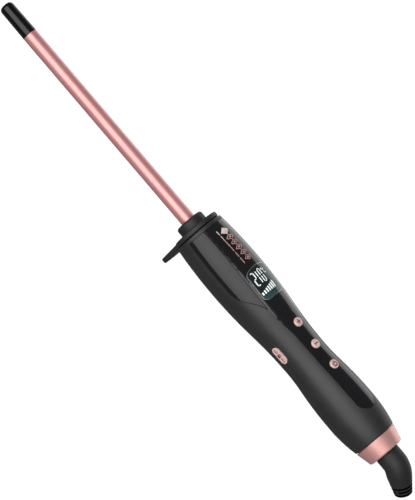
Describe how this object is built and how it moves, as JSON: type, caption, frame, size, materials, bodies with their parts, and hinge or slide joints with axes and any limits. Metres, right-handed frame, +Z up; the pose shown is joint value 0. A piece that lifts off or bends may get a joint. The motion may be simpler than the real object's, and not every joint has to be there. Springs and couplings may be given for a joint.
{
  "type": "curling wand",
  "caption": "Slim hair-curling wand: thin heated barrel with cool tip, collar with fold-free rest, contoured handle with display, round buttons, side lock button and swivelling cord sleeve.",
  "frame": {"origin": "centre of the wand's footprint on the surface it lies on, touching it with the rest's foot and the cord sleeve's end", "axes": "+X from the cord end towards the barrel's tip, level with the surface (the wand's own axis rises 5.6 degrees towards the tip); +Z up, the control panel faces up; +Y towards the lock button's side"},
  "size_m": [0.3556, 0.034, 0.0532],
  "materials": {
    "rose_coating": "satin ceramic coating over the tube",
    "rose_trim": "bright satin rose gold",
    "rose_button": "metallised, softly glossy",
    "tip_black": "satin black heat-proof plastic",
    "collar_black": "fine matte moulding",
    "soft_grip": "soft-touch, dead matte",
    "facet_grey": "smooth satin",
    "gloss_black": "piano gloss",
    "display_rim": "thin bright rim",
    "display_glass": "smoked teal window",
    "sleeve_rubber": "matte rubber",
    "inner_plastic": "plain moulding",
    "insulator": "unglazed",
    "spreader_metal": "as extruded",
    "contact_metal": "bright",
    "steel": "zinc plated",
    "board_green": "solder mask",
    "chip_black": "moulded package",
    "film_red": "dipped",
    "can_blue": "sleeved can",
    "lead_insulation": "silicone",
    "display_cell": "liquid crystal cell"
  },
  "bodies": {
    "handle": {"barrel_tube": "rose_coating", "cool_tip": "tip_black", "ceramic_heater": "insulator", "heat_spreaders": "spreader_metal", "thermistor": "insulator", "collar_rest": "collar_black", "barrel_clamp": "insulator", "collar_screws": "steel", "lower_shell": "soft_grip", "upper_shell": "soft_grip", "housing_screws": "steel", "control_panel": "gloss_black", "side_facet_left": "facet_grey", "side_facet_right": "facet_grey", "accent_strip_left": "gloss_black", "accent_strip_right": "gloss_black", "display_bezel": "display_rim", "display_lens": "display_glass", "panel_switches": "chip_black", "lock_switch": "chip_black", "lock_switch_board": "board_green", "main_board": "board_green", "board_screws": "steel", "lcd_module": "display_cell", "display_backlight": "inner_plastic", "microcontroller": "chip_black", "power_triac": "chip_black", "film_capacitor": "film_red", "smoothing_capacitor": "can_blue", "buzzer": "chip_black", "heater_leads": "lead_insulation", "thermistor_leads": "lead_insulation", "thermal_fuse": "insulator", "mains_leads": "lead_insulation", "end_band": "rose_trim", "swivel_bush": "inner_plastic", "contact_brushes": "contact_metal"},
    "plus_button": {"plus_button": "rose_button", "plus_plunger": "inner_plastic"},
    "minus_button": {"minus_button": "rose_button", "minus_plunger": "inner_plastic"},
    "power_button": {"power_button": "rose_button", "power_plunger": "inner_plastic"},
    "lock_button": {"lock_button": "rose_button", "lock_plunger": "inner_plastic"},
    "cord_swivel": {"strain_relief": "sleeve_rubber", "swivel_rotor": "inner_plastic", "swivel_circlip": "steel", "slip_rings": "contact_metal"}
  },
  "joints": [
    {"name": "plus_press", "type": "slide", "parent": "handle", "child": "plus_button", "axis": [0.0974, 0, -0.9952], "range_m": [0, 0.0005], "stiffness_N_per_m": 600, "springref_m": -0.0005},
    {"name": "minus_press", "type": "slide", "parent": "handle", "child": "minus_button", "axis": [0.0974, 0, -0.9952], "range_m": [0, 0.0005], "stiffness_N_per_m": 600, "springref_m": -0.0005},
    {"name": "power_press", "type": "slide", "parent": "handle", "child": "power_button", "axis": [0.0974, 0, -0.9952], "range_m": [0, 0.0005], "stiffness_N_per_m": 600, "springref_m": -0.0005},
    {"name": "lock_press", "type": "slide", "parent": "handle", "child": "lock_button", "axis": [0, -1, 0], "range_m": [0, 0.0006], "stiffness_N_per_m": 600, "springref_m": -0.0005},
    {"name": "cord_swivel_turn", "type": "hinge", "parent": "handle", "child": "cord_swivel", "pos_m": [-0.13937, 0, 0.01812], "axis": [0.9952, 0, 0.0974], "continuous": true}
  ]
}
